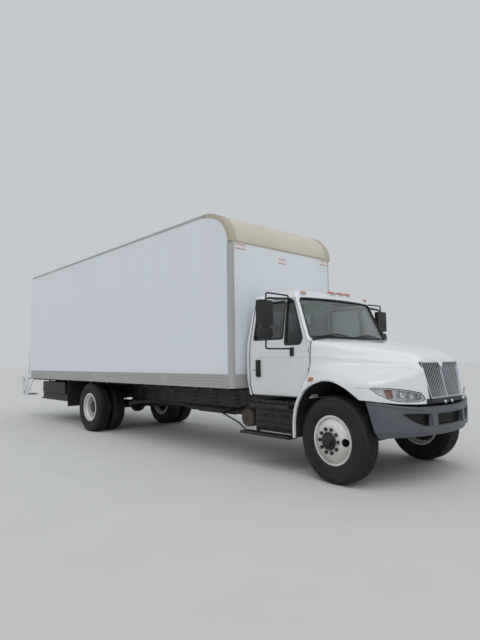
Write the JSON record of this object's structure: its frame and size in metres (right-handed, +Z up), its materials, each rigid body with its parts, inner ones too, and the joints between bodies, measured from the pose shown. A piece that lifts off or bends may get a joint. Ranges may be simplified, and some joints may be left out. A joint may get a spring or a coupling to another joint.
{
  "type": "box truck",
  "caption": "Conventional-cab box truck with a sloping white hood, long white cargo box with rounded nose, dual rear wheels and a stowed tail lift.",
  "frame": {"origin": "bottom centre of the bounding box, on the ground", "axes": "front faces -Y, +X is the truck's left side, +Z is up"},
  "size_m": [3.08, 11.695, 3.83],
  "materials": {
    "chassis_black": "satin",
    "body_white": "gloss",
    "box_white": "satin",
    "bumper_slate": "matte",
    "trim_black": "matte",
    "bare_aluminium": "brushed",
    "nose_cream": "satin",
    "grille_chrome": "polished",
    "lamp_clear": "polished",
    "lamp_amber": "gloss",
    "window_glass": "polished",
    "tyre_rubber": "matte",
    "wheel_white": "satin",
    "seat_cloth": "matte",
    "cabin_grey": "matte",
    "cast_iron": "matte",
    "tank_brown": "satin",
    "flap_rubber": "matte"
  },
  "bodies": {
    "chassis": {"frame_rails": "chassis_black", "front_bumper": "bumper_slate", "engine_block": "cast_iron", "radiator": "chassis_black", "front_axle": "chassis_black", "rear_axle": "chassis_black", "step_units": "chassis_black", "air_tanks": "tank_brown", "splash_guards": "flap_rubber", "cab_body": "body_white", "cab_glass": "window_glass", "dashboard": "cabin_grey", "seats": "seat_cloth", "box_floor": "chassis_black", "box_side_walls": "box_white", "box_front_wall": "box_white", "box_rails": "bare_aluminium", "box_roof": "box_white", "box_nose_cap": "nose_cream", "rear_frame": "box_white", "roll_up_door": "box_white", "marker_lamps": "lamp_amber"},
    "steering_wheel": {"steering_wheel": "trim_black"},
    "lift_arms": {"lift_arms": "chassis_black"},
    "lift_platform": {"lift_platform": "chassis_black"},
    "hood": {"hood": "body_white", "grille": "grille_chrome", "headlamps": "lamp_clear", "wheel_liners": "trim_black"},
    "door_left": {"door_left": "body_white", "door_glass_left": "window_glass", "mirror_left": "trim_black"},
    "door_right": {"door_right": "body_white", "door_glass_right": "window_glass", "mirror_right": "trim_black"},
    "knuckle_left": {"knuckle_left": "cast_iron"},
    "knuckle_right": {"knuckle_right": "cast_iron"},
    "wheel_front_left": {"front_tyre_left": "tyre_rubber", "front_rim_left": "wheel_white"},
    "wheel_front_right": {"front_tyre_right": "tyre_rubber", "front_rim_right": "wheel_white"},
    "wheel_rear_left": {"rear_tyres_left": "tyre_rubber", "rear_rims_left": "wheel_white"},
    "wheel_rear_right": {"rear_tyres_right": "tyre_rubber", "rear_rims_right": "wheel_white"}
  },
  "joints": [
    {"name": "hood_tilt", "type": "hinge", "parent": "chassis", "child": "hood", "pos_m": [0, -5.7645, 0.962], "axis": [1, 0, 0], "range_deg": [0, 58]},
    {"name": "door_left_swing", "type": "hinge", "parent": "chassis", "child": "door_left", "pos_m": [0.978, -4.4205, 1.47], "axis": [0, 0, -1], "range_deg": [0, 70]},
    {"name": "door_right_swing", "type": "hinge", "parent": "chassis", "child": "door_right", "pos_m": [-0.978, -4.4205, 1.47], "axis": [0, 0, 1], "range_deg": [0, 70]},
    {"name": "steer_left", "type": "hinge", "parent": "chassis", "child": "knuckle_left", "pos_m": [0.88, -4.9025, 0.515], "axis": [0, 0, 1], "range_deg": [-32.8, 43.2]},
    {"name": "steer_right", "type": "hinge", "parent": "chassis", "child": "knuckle_right", "pos_m": [-0.88, -4.9025, 0.515], "axis": [0, 0, 1], "range_deg": [-32.8, 43.2]},
    {"name": "roll_front_left", "type": "hinge", "parent": "knuckle_left", "child": "wheel_front_left", "pos_m": [1.02938, -4.91609, 0.515], "axis": [0.9959, -0.0906, 0], "continuous": true},
    {"name": "roll_front_right", "type": "hinge", "parent": "knuckle_right", "child": "wheel_front_right", "pos_m": [-1.02938, -4.88891, 0.515], "axis": [0.9959, -0.0906, 0], "continuous": true},
    {"name": "roll_rear_left", "type": "hinge", "parent": "chassis", "child": "wheel_rear_left", "pos_m": [0.9115, 1.5675, 0.515], "axis": [1, 0, 0], "continuous": true},
    {"name": "roll_rear_right", "type": "hinge", "parent": "chassis", "child": "wheel_rear_right", "pos_m": [-0.9115, 1.5675, 0.515], "axis": [1, 0, 0], "continuous": true},
    {"name": "steering_turn", "type": "hinge", "parent": "chassis", "child": "steering_wheel", "pos_m": [0.48, -4.0125, 1.625], "axis": [0, 0.6428, 0.766], "range_deg": [-530, 700]},
    {"name": "lift_lower", "type": "hinge", "parent": "chassis", "child": "lift_arms", "pos_m": [0, 4.0475, 0.655], "axis": [-1, 0, 0], "range_deg": [0, 35]},
    {"name": "lift_level", "type": "hinge", "parent": "lift_arms", "child": "lift_platform", "pos_m": [0, 4.9475, 0.64], "axis": [-1, 0, 0], "range_deg": [-35, 0]}
  ],
  "couplings": [
    {"joint": "steer_right", "follows": "steer_left", "ratio": 1},
    {"joint": "steering_turn", "follows": "steer_left", "ratio": 16},
    {"joint": "lift_level", "follows": "lift_lower", "ratio": -1}
  ]
}
